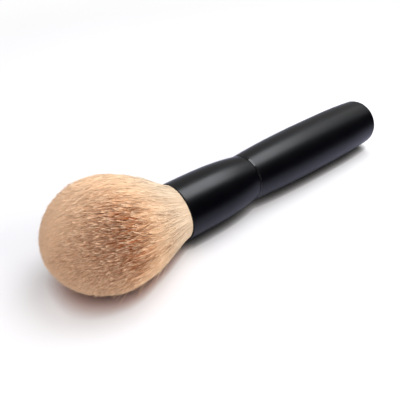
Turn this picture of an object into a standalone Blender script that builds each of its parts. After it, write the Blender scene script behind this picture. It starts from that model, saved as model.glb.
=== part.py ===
# A powder brush lying on its side: a domed tuft of hair, a tapered metal ferrule and a turned handle.
# Sizes are in metres. +X runs along the brush from the hair to the butt of the handle, +Z is up.
# The origin lies under the middle of the brush, on the surface that it rests on.

import math

import bmesh
import bpy
import numpy as np
from mathutils import Vector

# Ferrule: a drawn tube, wide at the mouth that holds the hair, narrow at the waist that meets the handle
ferrule_length = 0.0365
ferrule_mouth_radius = 0.0116
ferrule_barrel_radius = 0.0117
ferrule_waist_radius = 0.0098
ferrule_wall = 0.0006
ferrule_lip_round = 0.00045
ferrule_barrel_share = 0.35
ferrule_taper_power = 2.2

# Handle: it swells from its shoulder to a thick grip and ends in a flat butt with a rounded edge
handle_length = 0.080
handle_shoulder_radius = 0.0096
handle_swell_radius = 0.0117
handle_butt_radius = 0.0108
handle_shoulder_round = 0.0005
handle_butt_round = 0.0020
handle_swell_share = 0.70
handle_swell_power = 2.8

# Tenon: the spigot of the handle, glued into the waist of the ferrule
tenon_length = 0.018
tenon_chamfer = 0.0008
glue_film = 0.0004

# Hair: measured from the mouth of the ferrule to the top of the dome
hair_length = 0.0506
hair_widest_radius = 0.0211
hair_widest_distance = 0.0288
hair_rise = 0.0061
hair_tip_taper = 0.0045
hair_bend_shares = (0.30, 0.70)
hair_flare_power = 1.15
floor_edge_power = 16

# Root of the hair: a bound slice of the knot, tied with thread and set in resin inside the ferrule
root_slice_thickness = 0.0035
root_rim_thickness = 0.0012
thread_thickness = 0.0006

# Room between pieces that touch
fit_gap = 0.0003

# Counts: strands stand on the triangles of a disc with this many sectors and rings
strand_sectors = 5
strand_rings = 8
round_segments = 48
profile_steps = 12
arc_steps = 4
sharp_angle = math.radians(35)

# How much of its triangle a strand fills at the root, at the bends and where its tip begins
root_fill_share = 0.80
bend_fill_share = 0.92
tip_fill_share = 0.78

# Sizes that follow from those above
axis_height = max(ferrule_barrel_radius, handle_swell_radius)
mouth_bore_radius = ferrule_mouth_radius - ferrule_wall
hair_root_radius = mouth_bore_radius - fit_gap
thread_outer_radius = mouth_bore_radius - fit_gap
thread_inner_radius = thread_outer_radius - thread_thickness
neck_radius = thread_inner_radius - fit_gap
tenon_radius = ferrule_waist_radius - ferrule_wall - glue_film - 2 * fit_gap
tenon_front = ferrule_length - tenon_length
handle_start = ferrule_length + fit_gap
overall_length = hair_length + handle_start + handle_length
mouth_x = hair_length - overall_length / 2


def make_material(name, colour, roughness, metallic=0.0):
    material = bpy.data.materials.new(name)
    material.use_nodes = True
    shader = material.node_tree.nodes["Principled BSDF"]
    shader.inputs["Base Color"].default_value = (*colour, 1.0)
    shader.inputs["Roughness"].default_value = roughness
    shader.inputs["Metallic"].default_value = metallic
    material.diffuse_color = (*colour, 1.0)
    return material


def add_object(name, mesh, material, carrier, place=0.0):
    """Put a mesh under the brush's axis, at a distance along it from the mouth of the ferrule."""
    mesh.materials.append(material)
    piece = bpy.data.objects.new(name, mesh)
    bpy.context.collection.objects.link(piece)
    piece.parent = carrier
    piece.location.x = place
    return piece


def arc(centre, radius, start_degrees, end_degrees):
    """Points of a round edge: degrees count from +X towards a growing radius."""
    turns = np.radians(np.linspace(start_degrees, end_degrees, arc_steps + 1))
    return [(centre[0] + radius * math.cos(a), centre[1] + radius * math.sin(a)) for a in turns]


def turned(name, outline, hollow=False):
    """Turn an outline of (distance along the axis, radius) pairs. A hollow one closes on itself."""
    bm = bmesh.new()
    # The first angle points straight down, so that a vertex touches the surface below
    angles = [2 * math.pi * i / round_segments - math.pi / 2 for i in range(round_segments)]
    rings = [[bm.verts.new((x, r * math.cos(a), r * math.sin(a))) for a in angles] for x, r in outline]
    following = rings[1:] + rings[:1] if hollow else rings[1:]
    for ring, after in zip(rings, following):
        for i in range(round_segments):
            j = (i + 1) % round_segments
            bm.faces.new((ring[i], ring[j], after[j], after[i]))
    if not hollow:
        bm.faces.new(rings[0])
        bm.faces.new(rings[-1])
    bmesh.ops.recalc_face_normals(bm, faces=bm.faces)
    mesh = bpy.data.meshes.new(name)
    bm.to_mesh(mesh)
    bm.free()
    mesh.shade_smooth()
    mesh.set_sharp_from_angle(angle=sharp_angle)
    return mesh


def ferrule_radius(distance):
    """Outer radius: a faint barrel near the mouth, then a taper that steepens towards the waist."""
    share = distance / ferrule_length
    if share < ferrule_barrel_share:
        left = 1 - share / ferrule_barrel_share
        return ferrule_barrel_radius - (ferrule_barrel_radius - ferrule_mouth_radius) * left ** 2
    gone = ((share - ferrule_barrel_share) / (1 - ferrule_barrel_share)) ** ferrule_taper_power
    return ferrule_barrel_radius - (ferrule_barrel_radius - ferrule_waist_radius) * gone


def bore_radius(distance):
    return ferrule_radius(distance) - ferrule_wall


def handle_radius(distance):
    """Radius from the shoulder on: a quick swell, a long grip and a gentle fall to the butt."""
    share = distance / handle_length
    if share < handle_swell_share:
        left = (1 - share / handle_swell_share) ** handle_swell_power
        return handle_swell_radius - (handle_swell_radius - handle_shoulder_radius) * left
    gone = (share - handle_swell_share) / (1 - handle_swell_share)
    return handle_swell_radius - (handle_swell_radius - handle_butt_radius) * gone ** 2


def ferrule_mesh():
    round_in = ferrule_lip_round
    lip_radius = ferrule_radius(round_in)
    outside = [(x, ferrule_radius(x)) for x in np.linspace(round_in, ferrule_length, profile_steps + 1)]
    inside = [(x, bore_radius(x)) for x in np.linspace(ferrule_length, 0.0, profile_steps // 2 + 1)]
    lip = arc((round_in, lip_radius - round_in), round_in, 180, 90)
    return turned("ferrule", lip + outside[1:] + inside, hollow=True)


def handle_mesh():
    """The tenon lies before the shoulder, at negative distances."""
    shoulder = handle_shoulder_round
    tip = -tenon_length - fit_gap
    tenon = [
        (tip, tenon_radius - tenon_chamfer),
        (tip + tenon_chamfer, tenon_radius),
        (0.0, tenon_radius),
    ]
    shoulder_edge = arc((shoulder, handle_radius(shoulder) - shoulder), shoulder, 180, 90)
    body_end = handle_length - handle_butt_round
    body = [(x, handle_radius(x)) for x in np.linspace(shoulder, body_end, profile_steps + 1)]
    butt_edge = arc((body_end, handle_radius(body_end) - handle_butt_round), handle_butt_round, 90, 0)
    return turned("handle", tenon + shoulder_edge + body[1:] + butt_edge[1:])


def glue_mesh():
    """Glue fills the flared space between the tenon and the bore of the ferrule."""
    inner = tenon_radius + fit_gap
    stops = np.linspace(tenon_front, ferrule_length, profile_steps // 2 + 1)
    outside = [(x, bore_radius(x) - fit_gap) for x in stops]
    return turned("tenon_glue", outside + [(ferrule_length, inner), (tenon_front, inner)], hollow=True)


def plug_mesh():
    """Resin fills the bore between the roots of the hair and the tenon."""
    front, back = root_slice_thickness + fit_gap, tenon_front - fit_gap
    stops = np.linspace(front, back, profile_steps // 3 + 1)
    return turned("root_plug", [(x, bore_radius(x) - fit_gap) for x in stops])


def thread_mesh():
    """A band of thread lies round the neck of the knot, behind its rim."""
    front = root_rim_thickness + fit_gap
    outside = [(front, thread_outer_radius), (root_slice_thickness, thread_outer_radius)]
    inside = [(root_slice_thickness, thread_inner_radius), (front, thread_inner_radius)]
    return turned("binding_thread", outside + inside, hollow=True)


def hair_spread(distance):
    """Radius of the whole bundle: it flares from the mouth and runs straight past its widest place."""
    share = min(max(distance / hair_widest_distance, 0.0), 1.0)
    flare = math.sin(math.pi / 2 * share) ** hair_flare_power
    return hair_root_radius + (hair_widest_radius - hair_root_radius) * flare


def hair_lift(distance):
    """The surface below pushes the soft bundle up, most of all near the mouth."""
    share = min(max(distance / hair_length, 0.0), 1.0)
    return hair_rise * (1 - (1 - share) ** 2)


def hair_reach(unit, distance):
    """How far the bundle reaches in a direction before it ends or lies on the surface below."""
    spread = hair_spread(distance)
    if distance <= 0 or unit[1] >= 0:
        return spread
    down = -unit[1] / math.hypot(*unit)
    to_floor = (axis_height + hair_lift(distance)) / down
    return (spread ** -floor_edge_power + to_floor ** -floor_edge_power) ** (-1 / floor_edge_power)


def hair_point(unit, distance):
    """Carry a point of the unit disc at the root out to a distance from the mouth."""
    reach = hair_reach(unit, distance)
    return (-distance, unit[0] * reach, unit[1] * reach + hair_lift(distance))


def strand_length(unit):
    """Strands end on the dome, so those in the middle are the longest."""
    out = math.hypot(*unit) * hair_reach(unit, hair_widest_distance) / hair_widest_radius
    return hair_widest_distance + (hair_length - hair_widest_distance) * math.sqrt(1 - out ** 2)


def disc_corner(ring, step):
    """A corner of the tiles, in the unit disc. The first step of a ring points straight up."""
    angle = 2 * math.pi * step / (strand_sectors * ring) if ring else 0.0
    radius = ring / strand_rings
    return (radius * math.sin(angle), radius * math.cos(angle))


def disc_tiles():
    """Triangles of equal area on the unit disc: each ring has one more step a sector than the last."""
    tiles = []
    for ring in range(1, strand_rings + 1):
        around, around_inside = strand_sectors * ring, max(strand_sectors * (ring - 1), 1)
        for sector in range(strand_sectors):
            for step in range(ring):
                outer = sector * ring + step
                inner = sector * (ring - 1) + step
                inside = (ring - 1, inner % around_inside)
                tiles.append(((ring, outer), (ring, (outer + 1) % around), inside))
                if step:
                    tiles.append(((ring - 1, inner - 1), (ring, outer), inside))
    return tiles


def add_side(bm, low_a, low_b, high_a, high_b, middle):
    """Split a twisted side along the diagonal nearer the strand's middle, so it never bulges out."""
    rising, falling = (low_a.co + high_b.co) / 2, (low_b.co + high_a.co) / 2
    if (rising - middle).length < (falling - middle).length:
        bm.faces.new((low_a, low_b, high_b))
        bm.faces.new((low_a, high_b, high_a))
    else:
        bm.faces.new((low_a, low_b, high_a))
        bm.faces.new((low_b, high_b, high_a))


def add_strand(bm, base, corners):
    """Grow one three-sided strand from its tile: past the bends, then to a point on the dome."""
    middle = sum(corners) / len(corners)
    end = strand_length(middle)
    stations = [(0.0, root_fill_share)]
    stations += [(share * hair_widest_distance, bend_fill_share) for share in hair_bend_shares]
    stations.append((end - hair_tip_taper, tip_fill_share))
    for distance, fill in stations:
        ring = [bm.verts.new(hair_point(middle + fill * (c - middle), distance)) for c in corners]
        centre = sum((v.co for v in base + ring), Vector()) / (len(base) + len(ring))
        for i in range(len(ring)):
            j = (i + 1) % len(ring)
            add_side(bm, base[i], base[j], ring[i], ring[j], centre)
        base = ring
    tip = bm.verts.new(hair_point(middle, end))
    for i in range(len(base)):
        bm.faces.new((base[i], base[(i + 1) % len(base)], tip))


def tuft_mesh():
    """Strands on the face of a slice of the knot, whose neck takes the thread."""
    bm = bmesh.new()
    tiles = disc_tiles()
    keys = sorted({key for tile in tiles for key in tile})
    face = {key: bm.verts.new(hair_point(disc_corner(*key), 0.0)) for key in keys}
    for tile in tiles:
        add_strand(bm, [face[key] for key in tile], [np.array(disc_corner(*key)) for key in tile])
    steps = range(strand_sectors * strand_rings)
    edge = [disc_corner(strand_rings, step) for step in steps]
    slice_outline = (
        (root_rim_thickness, hair_root_radius),
        (root_rim_thickness, neck_radius),
        (root_slice_thickness, neck_radius),
    )
    rim = [face[(strand_rings, step)] for step in steps]
    for x, radius in slice_outline:
        ring = [bm.verts.new((x, radius * y, radius * z)) for y, z in edge]
        for i in steps:
            j = (i + 1) % len(rim)
            bm.faces.new((rim[i], rim[j], ring[j], ring[i]))
        rim = ring
    bm.faces.new(rim)
    bmesh.ops.recalc_face_normals(bm, faces=bm.faces)
    mesh = bpy.data.meshes.new("bristle_tuft")
    bm.to_mesh(mesh)
    bm.free()
    return mesh


def build_brush():
    black_lacquer = make_material("black_lacquer", (0.010, 0.010, 0.012), 0.38)
    black_metal = make_material("black_metal", (0.012, 0.012, 0.014), 0.35, 0.6)
    tan_hair = make_material("tan_hair", (0.62, 0.42, 0.27), 0.75)
    thread = make_material("thread", (0.70, 0.66, 0.58), 0.85)
    resin = make_material("resin", (0.55, 0.42, 0.22), 0.30)
    glue = make_material("glue", (0.80, 0.76, 0.66), 0.45)

    axis = bpy.data.objects.new("brush_axis", None)
    bpy.context.collection.objects.link(axis)
    axis.location = (mouth_x, 0.0, axis_height)

    add_object("bristle_tuft", tuft_mesh(), tan_hair, axis)
    add_object("binding_thread", thread_mesh(), thread, axis)
    add_object("root_plug", plug_mesh(), resin, axis)
    add_object("ferrule", ferrule_mesh(), black_metal, axis)
    add_object("tenon_glue", glue_mesh(), glue, axis)
    add_object("handle", handle_mesh(), black_lacquer, axis, handle_start)


for old in list(bpy.data.objects):
    bpy.data.objects.remove(old, do_unlink=True)
build_brush()
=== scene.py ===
# A powder brush on a pale table: its hair, ferrule and handle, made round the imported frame.
# Metres throughout. The brush lies along X with its hair towards -X, and it rests on z = 0.

import math

import bpy
import numpy as np
from mathutils import Matrix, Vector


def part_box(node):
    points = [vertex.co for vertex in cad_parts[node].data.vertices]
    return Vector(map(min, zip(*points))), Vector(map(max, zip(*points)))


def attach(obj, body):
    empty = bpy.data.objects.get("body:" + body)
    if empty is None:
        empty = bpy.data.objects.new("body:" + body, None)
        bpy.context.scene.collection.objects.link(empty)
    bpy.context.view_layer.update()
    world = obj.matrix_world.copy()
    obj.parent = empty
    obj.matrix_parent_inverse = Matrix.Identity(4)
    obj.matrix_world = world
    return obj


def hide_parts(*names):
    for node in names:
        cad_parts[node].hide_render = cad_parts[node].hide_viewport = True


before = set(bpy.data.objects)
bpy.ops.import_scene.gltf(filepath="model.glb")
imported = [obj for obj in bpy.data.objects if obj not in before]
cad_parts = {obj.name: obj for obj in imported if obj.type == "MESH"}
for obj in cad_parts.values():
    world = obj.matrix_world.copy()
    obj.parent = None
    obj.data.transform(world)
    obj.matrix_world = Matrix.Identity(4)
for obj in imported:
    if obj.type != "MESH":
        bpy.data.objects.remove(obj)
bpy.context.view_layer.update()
print("frame loaded:", sorted(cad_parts))

ferruleLow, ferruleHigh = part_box("ferrule")
handleLow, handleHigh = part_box("handle")
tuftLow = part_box("bristle_tuft")[0]

brush = {
    "mouthX": ferruleLow.x,  # where the hair leaves the ferrule
    "axisZ": (ferruleLow.z + ferruleHigh.z) / 2,
    "ferruleLength": ferruleHigh.x - ferruleLow.x,
    "barrelRadius": (ferruleHigh.z - ferruleLow.z) / 2,
    "swellRadius": (handleHigh.z - handleLow.z) / 2,
    "hairLength": ferruleLow.x - tuftLow.x,
    "tenonX": handleLow.x,
    "buttX": handleHigh.x,
}
rng = np.random.default_rng(20)
nearZero = 1e-6  # keeps a division away from nothing
white = (1.0, 1.0, 1.0)
black = (0.0, 0.0, 0.0)


# Meshes


def unit(vectors):
    # Each vector divided by its own length
    return vectors / np.linalg.norm(vectors, axis=-1, keepdims=True)


def meshFrom(name, points, faceSets):
    # Each face set is an array of vertex numbers with one row a face, and a face starts in the list of
    # corners where the faces before it end
    mesh = bpy.data.meshes.new(name)
    corners = np.concatenate([faces.ravel() for faces in faceSets]).astype(np.int32)
    counts = np.concatenate([np.full(len(faces), faces.shape[1]) for faces in faceSets])
    starts = (np.cumsum(counts) - counts).astype(np.int32)
    mesh.vertices.add(len(points))
    mesh.vertices.foreach_set("co", points.astype(np.float32).ravel())
    mesh.loops.add(len(corners))
    mesh.loops.foreach_set("vertex_index", corners)
    mesh.polygons.add(len(counts))
    mesh.polygons.foreach_set("loop_start", starts)
    mesh.update(calc_edges=True)
    mesh.shade_smooth()
    return mesh


def writeFact(mesh, name, values, kind="FLOAT"):
    # One number, or one vector, for each vertex, which a material can read
    field = "vector" if kind == "FLOAT_VECTOR" else "value"
    layer = mesh.attributes.new(name, kind, "POINT")
    layer.data.foreach_set(field, values.astype(np.float32).ravel())


def addPiece(mesh, material, slot, *stoodFor):
    # A visible piece on the brush's one body, in place of the frame's nodes that it stands for
    mesh.materials.append(material)
    piece = bpy.data.objects.new(mesh.name, mesh)
    bpy.context.collection.objects.link(piece)
    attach(piece, "root")
    if stoodFor:
        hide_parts(*stoodFor)
    return piece


def ringsMesh(name, rings, poles):
    # Skins rings of points, which run in the +X direction, and closes them on two points. Without
    # poles the last ring joins the first, as on a tube with a wall.
    rows, around = rings.shape[:2]
    points = rings.reshape(-1, 3)
    ring = np.arange(rows)[:, None] * around + np.arange(around)
    beside = np.roll(ring, -1, axis=1)
    after, afterBeside = np.roll(ring, -1, axis=0), np.roll(beside, -1, axis=0)
    quads = np.stack([ring, beside, afterBeside, after], -1)
    if poles is None:
        return meshFrom(name, points, [quads.reshape(-1, 4)])
    first, last = len(points), len(points) + 1
    points = np.concatenate([points, poles])
    start = np.stack([np.full(around, first), beside[0], ring[0]], -1)
    end = np.stack([np.full(around, last), ring[-1], beside[-1]], -1)
    return meshFrom(name, points, [quads[:-1].reshape(-1, 4), start, end])


def turnedMesh(name, outline, around, hollow):
    # A profile of (x, radius) rows carried round the brush's axis: x stays, and the radius turns to
    # (r cos a, r sin a).
    outline = np.asarray(outline, float)
    angles = np.linspace(0, 2 * np.pi, around, endpoint=False)
    x, r = outline[:, :1], outline[:, 1:]
    y, z = r * np.cos(angles), brush["axisZ"] + r * np.sin(angles)
    rings = np.stack([np.broadcast_to(x, y.shape), y, z], -1)
    ends = [[outline[0, 0], 0, brush["axisZ"]], [outline[-1, 0], 0, brush["axisZ"]]]
    return ringsMesh(name, rings, None if hollow else ends)


def roundedEdge(centreX, centreR, radius, fromDegrees, toDegrees, steps):
    # An arc of the profile: degrees count from +X towards a growing radius
    turns = np.radians(np.linspace(fromDegrees, toDegrees, steps))
    return np.stack([centreX + radius * np.cos(turns), centreR + radius * np.sin(turns)], -1)


# Materials. Noises are dictionaries of the node's own sockets, with their scale per metre.


def newMaterial(name):
    # Gives the material, its node tree and the shader in it
    material = bpy.data.materials.new(name)
    material.use_nodes = True
    tree = material.node_tree
    return material, tree, tree.nodes["Principled BSDF"]


def setInputs(tree, node, inputs):
    # A socket goes by its name, or by i and its number, and takes a link or a value. Colours are given
    # without their alpha.
    for key, value in inputs.items():
        socket = node.inputs[int(key[1:])] if key[1:].isdigit() else node.inputs[key]
        if isinstance(value, bpy.types.NodeSocket):
            tree.links.new(value, socket)
        elif socket.type == "RGBA":
            socket.default_value = (*value, 1.0)
        else:
            socket.default_value = value


def addNode(tree, kind, settings=None, **inputs):
    # Settings are the node's own properties, and inputs its sockets
    node = tree.nodes.new("ShaderNode" + kind)
    for key, value in (settings or {}).items():
        setattr(node, key, value)
    setInputs(tree, node, inputs)
    return node


def mathNode(tree, operation, *values, clamp=False):
    # The values fill the node's sockets in order
    inputs = {f"i{number}": value for number, value in enumerate(values)}
    return addNode(tree, "Math", {"operation": operation, "use_clamp": clamp}, **inputs).outputs[0]


def mapRange(tree, value, low, high, toLow=0.0, toHigh=1.0, curve="LINEAR"):
    # A value between low and high goes to the same share of the way from toLow to toHigh
    settings = {"interpolation_type": curve}
    return addNode(tree, "MapRange", settings, i0=value, i1=low, i2=high, i3=toLow, i4=toHigh).outputs[0]


def rampNode(tree, factor, stops):
    # Stops are (place, colour) pairs
    node = addNode(tree, "ValToRGB", i0=factor)
    elements = node.color_ramp.elements
    while len(elements) < len(stops):
        elements.new(0.5)
    for element, (place, colour) in zip(elements, stops):
        element.position = place
        element.color = (*colour, 1.0)
    return node.outputs[0]


def mixColours(tree, blend, factor, a, b):
    # a, or with a factor of 1 what the blend makes of a and b
    settings = {"data_type": "RGBA", "blend_type": blend}
    return addNode(tree, "Mix", settings, i0=factor, i6=a, i7=b).outputs[2]


def mixValues(tree, factor, a, b):
    # a * (1 - factor) + b * factor
    return addNode(tree, "Mix", {"data_type": "FLOAT"}, i0=factor, i2=a, i3=b).outputs[0]


def objectPlace(tree):
    return addNode(tree, "TexCoord").outputs["Object"]


def axisOf(tree, vector, number):
    return addNode(tree, "SeparateXYZ", Vector=vector).outputs[number]


def noise(tree, place, sockets):
    return addNode(tree, "TexNoise", Vector=place, **sockets).outputs[0]


def readFact(tree, name, output="Fac"):
    return addNode(tree, "Attribute", {"attribute_name": name}).outputs[output]


def addBump(tree, shader, height, strength, depth):
    # Tilts the surface as if the height stood out of it by up to the depth
    bump = addNode(tree, "Bump", Height=height, Strength=strength, Distance=depth)
    tree.links.new(bump.outputs[0], shader.inputs["Normal"])


# Ferrule

ferrule = {
    "mouthRadius": 0.0116,
    "waistRadius": 0.0098,
    "wall": 0.0006,
    "lipRound": 0.00045,
    "waistRound": 0.00012,
    "barrelShare": 0.35,  # of the length, up to the widest place
    "taperPower": 2.2,
    "around": 256,
    "rows": 90,
    "edgeSteps": 8,
    "sharpAngle": 40,  # degrees, from which an edge is drawn sharp
    "colour": (0.0001, 0.0001, 0.0008),
    "specular": 0.50,
    "roughness": 0.26,
    "dulling": 0.10,  # added to the roughness where the patches are strongest
    "patches": {"Scale": 140.0, "Detail": 4.0},
    "lines": {"Scale": 10800.0, "Detail": 3.0},
    "lineStrength": 0.35,
    "lineDepth": 0.00001,
}


def ferruleRadius(x):
    # A parabola up to the barrel, then a power curve down to the waist
    share = (x - brush["mouthX"]) / brush["ferruleLength"]
    barrel, split = brush["barrelRadius"], ferrule["barrelShare"]
    rise = (barrel - ferrule["mouthRadius"]) * (1 - share / split) ** 2
    past = np.clip((share - split) / (1 - split), 0, 1)
    fall = (barrel - ferrule["waistRadius"]) * past ** ferrule["taperPower"]
    return barrel - np.where(share < split, rise, fall)


def metalMaterial():
    # Anodised metal: a noise over x alone draws fine turning lines round the tube, and another dulls
    # it in patches where it is handled
    material, tree, shader = newMaterial("satinBlackMetal")
    place = objectPlace(tree)
    alongOnly = addNode(tree, "CombineXYZ", X=axisOf(tree, place, 0)).outputs[0]
    lines = noise(tree, alongOnly, ferrule["lines"])
    patches = noise(tree, place, ferrule["patches"])
    addBump(tree, shader, lines, ferrule["lineStrength"], ferrule["lineDepth"])
    setInputs(tree, shader, {
        "Base Color": ferrule["colour"],
        "Roughness": mathNode(tree, "MULTIPLY_ADD", patches, ferrule["dulling"], ferrule["roughness"]),
        "Specular IOR Level": ferrule["specular"],
    })
    return material


def makeFerrule(material):
    # The outline runs out from the mouth's lip to the waist and back along the bore, a wall further in
    start, end = brush["mouthX"], brush["mouthX"] + brush["ferruleLength"]
    lip, edge, wall = ferrule["lipRound"], ferrule["waistRound"], ferrule["wall"]
    steps = ferrule["edgeSteps"]
    outer = np.linspace(start + lip, end - edge, ferrule["rows"])
    inner = np.linspace(end, start, ferrule["rows"] // 2)
    outline = np.concatenate([
        roundedEdge(start + lip, ferruleRadius(start + lip) - lip, lip, 180, 90, steps),
        np.stack([outer, ferruleRadius(outer)], -1)[1:-1],
        roundedEdge(end - edge, ferruleRadius(end - edge) - edge, edge, 90, 0, steps),
        np.stack([inner, ferruleRadius(inner) - wall], -1),
    ])
    mesh = turnedMesh("ferrule_tube", outline, ferrule["around"], hollow=True)
    mesh.set_sharp_from_angle(angle=math.radians(ferrule["sharpAngle"]))
    return addPiece(mesh, material, "ferrule_coat", "ferrule")


# Handle

handle = {
    "shoulderRadius": 0.0100,
    "buttRadius": 0.0108,
    "tenonRadius": 0.0082,
    "tenonChamfer": 0.0008,
    "seamGap": 0.00006,
    "shoulderRound": 0.00015,
    "bevelLength": 0.00070,  # a slim bevel on the shoulder catches the light
    "bevelDrop": 0.00012,
    "buttRound": 0.0020,
    "swellShare": 0.70,  # of the length, up to the widest place
    "swellPower": 2.8,
    "around": 256,
    "rows": 120,
    "edgeSteps": 16,
    "sharpAngle": 10,  # degrees, from which an edge is drawn sharp
    "colour": (0.0001, 0.0001, 0.0008),
    "specular": 0.50,
    "roughness": 0.29,
    "dulling": 0.10,  # added to the roughness where the patches are strongest
    "patches": {"Scale": 90.0, "Detail": 5.0},
    "edgeHighlightColour": (0.006, 0.006, 0.007),  # the shoulder's edge is polished, and its grey is a painted highlight where the bevel catches the softbox
    "edgeRoughness": 0.12,
    "edgeFade": 0.0003,
    "peel": {"Scale": 700.0, "Detail": 2.0},  # the lacquer's faint waviness
    "peelStrength": 0.3,
    "peelDepth": 0.00002,
}
handle["shoulderX"] = brush["mouthX"] + brush["ferruleLength"] + handle["seamGap"]
handle["length"] = brush["buttX"] - handle["shoulderX"]


def handleRadius(x):
    # A power curve up to the grip's widest place, then a parabola down to the butt
    share = (x - handle["shoulderX"]) / handle["length"]
    swell, split = brush["swellRadius"], handle["swellShare"]
    before = np.clip(1 - share / split, 0, 1)
    rise = (swell - handle["shoulderRadius"]) * before ** handle["swellPower"]
    fall = (swell - handle["buttRadius"]) * ((share - split) / (1 - split)) ** 2
    return swell - np.where(share < split, rise, fall)


def lacquerMaterial():
    # Satin lacquer over wood: a soft waviness, and a roughness that handling has varied. Colour and
    # roughness go from the polished edge's, greyed as a painted highlight, to the lacquer's own just
    # behind the bevel.
    material, tree, shader = newMaterial("satinBlackLacquer")
    place = objectPlace(tree)
    along = axisOf(tree, place, 0)
    bevelEnd = handle["shoulderX"] + handle["bevelLength"]
    edge = (bevelEnd, bevelEnd + handle["edgeFade"])
    patches = noise(tree, place, handle["patches"])
    dull = mathNode(tree, "MULTIPLY_ADD", patches, handle["dulling"], handle["roughness"])
    # onBody is 0 on the bevel, where the grey edge colour paints a highlight
    onBody = mapRange(tree, along, *edge)
    peel = noise(tree, place, handle["peel"])
    addBump(tree, shader, peel, handle["peelStrength"], handle["peelDepth"])
    setInputs(tree, shader, {
        "Base Color": mixColours(tree, "MIX", onBody, handle["edgeHighlightColour"], handle["colour"]),
        "Roughness": mapRange(tree, along, *edge, handle["edgeRoughness"], dull),
        "Specular IOR Level": handle["specular"],
    })
    return material


def makeHandle(material):
    # The outline runs from the tenon's end out over the shoulder's bevel and the grip to the butt
    start, end = handle["shoulderX"], brush["buttX"]
    edge, butt, chamfer = handle["shoulderRound"], handle["buttRound"], handle["tenonChamfer"]
    steps = handle["edgeSteps"]
    bevelEnd = start + handle["bevelLength"]
    bevelRadius = handleRadius(bevelEnd) - handle["bevelDrop"]
    body = np.linspace(bevelEnd, end - butt, handle["rows"])
    tenon = [
        (brush["tenonX"], handle["tenonRadius"] - chamfer),
        (brush["tenonX"] + chamfer, handle["tenonRadius"]),
        (start, handle["tenonRadius"]),
    ]
    outline = np.concatenate([
        tenon,
        roundedEdge(start + edge, bevelRadius - edge, edge, 180, 90, steps),
        np.stack([body, handleRadius(body)], -1)[:-1],
        roundedEdge(end - butt, handleRadius(end - butt) - butt, butt, 90, 0, steps),
    ])
    mesh = turnedMesh("handle_body", outline, handle["around"], hollow=False)
    mesh.set_sharp_from_angle(angle=math.radians(handle["sharpAngle"]))
    return addPiece(mesh, material, "handle_lacquer", "handle")


makeFerrule(metalMaterial())
makeHandle(lacquerMaterial())
print("ferrule and handle turned")


# The hair's bundle. A hair has a place in the unit disc, and runs out at a distance h from the mouth.

bundle = {
    "rootRadius": 0.0107,
    "widestRadius": 0.0202,
    "widestDistance": 0.0288,  # from the mouth
    "flarePower": 1.08,
    "rise": 0.0056,  # how far the table pushes the tuft up
    "risePower": 3.0,
    "floorPower": 16,  # how tight the turn from the round side to the flat underside is
    "leastDown": 0.001,  # a direction that points down less than this meets no table
    "tipReach": 0.0002,  # added to the hair's packed length
    "rootDepth": 0.0010,  # how far the hairs reach into the ferrule
}
bundle["domeLength"] = brush["hairLength"] + bundle["tipReach"] - bundle["widestDistance"]


def bundleSpread(h):
    # The tuft's radius at a distance h from the mouth: a power of a quarter sine, then straight on
    share = np.clip(h / bundle["widestDistance"], 0, 1)
    flare = np.sin(np.pi / 2 * share) ** bundle["flarePower"]
    return bundle["rootRadius"] + (bundle["widestRadius"] - bundle["rootRadius"]) * flare


def bundleLift(h):
    # How far the table has pushed the bundle up, most of all near the mouth
    share = np.clip(h / brush["hairLength"], 0, 1)
    return bundle["rise"] * (1 - (1 - share) ** bundle["risePower"])


def bundlePoint(disc, h):
    # Carries a point of the unit disc to a distance h from the mouth: the disc's radius grows with the
    # spread, but downwards it stops at the table, by a soft minimum of the two reaches.
    spread = bundleSpread(h)
    out = np.maximum(np.hypot(disc[..., 0], disc[..., 1]), nearZero)
    down = np.maximum(-disc[..., 1] / out, bundle["leastDown"])
    toFloor = (brush["axisZ"] + bundleLift(h)) / down
    power = bundle["floorPower"]
    reach = (spread ** -power + toFloor ** -power) ** (-1 / power)
    z = brush["axisZ"] + bundleLift(h) + disc[..., 1] * reach
    return np.stack([brush["mouthX"] - h, disc[..., 0] * reach, z], -1)


def fullLength(disc):
    # Hairs end on a dome: half an ellipse from the widest place to the tip
    out = np.clip(np.hypot(disc[..., 0], disc[..., 1]), 0, 1)
    return bundle["widestDistance"] + bundle["domeLength"] * np.sqrt(1 - out ** 2)


# Where the hair is brown, where its strands are streaky and where it is rough: at a place along the
# tuft, back to the mouth and on to the tip, and up each side, in degrees above the axis. On the side
# away from the camera it lies lower, and the top stays smooth.
brownZone = {
    "place": 0.0365,
    "back": 0.0070,
    "reach": 0.0105,
    "up": 18,
    "above": 38,
    "below": 64,
    "far": -10,
    "farAbove": 25,
}
streakZone = {
    "place": 0.0120,
    "back": 0.0095,
    "reach": 0.0100,
    "up": 20,
    "above": 45,
    "below": 60,
    "far": 10,
    "farAbove": 25,
}
roughZone = {
    "place": 0.0320,
    "back": 0.0120,
    "reach": 0.0140,
    "up": 38,
    "above": 36,
    "below": 55,
    "far": 10,
    "farAbove": 25,
}


def sideZone(points, h, zone):
    # A bell along the tuft times the larger of two bells round it, one on each side:
    # exp(-(distance / width) ** 2), with a width of its own each way from the middle
    def bell(value, middle, before, after):
        # 1 in the middle, and less with the square of the distance from it
        return np.exp(-(((value - middle) / np.where(value < middle, before, after)) ** 2))

    up = points[..., 2] - brush["axisZ"] - bundleLift(h)
    near = np.degrees(np.arctan2(up, -points[..., 1]))
    far = np.degrees(np.arctan2(up, points[..., 1]))
    nearSide = bell(near, zone["up"], zone["below"], zone["above"])
    farSide = bell(far, zone["far"], zone["below"], zone["farAbove"])
    return np.maximum(nearSide, farSide) * bell(h, zone["place"], zone["back"], zone["reach"])


# The hair's finish

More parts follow.
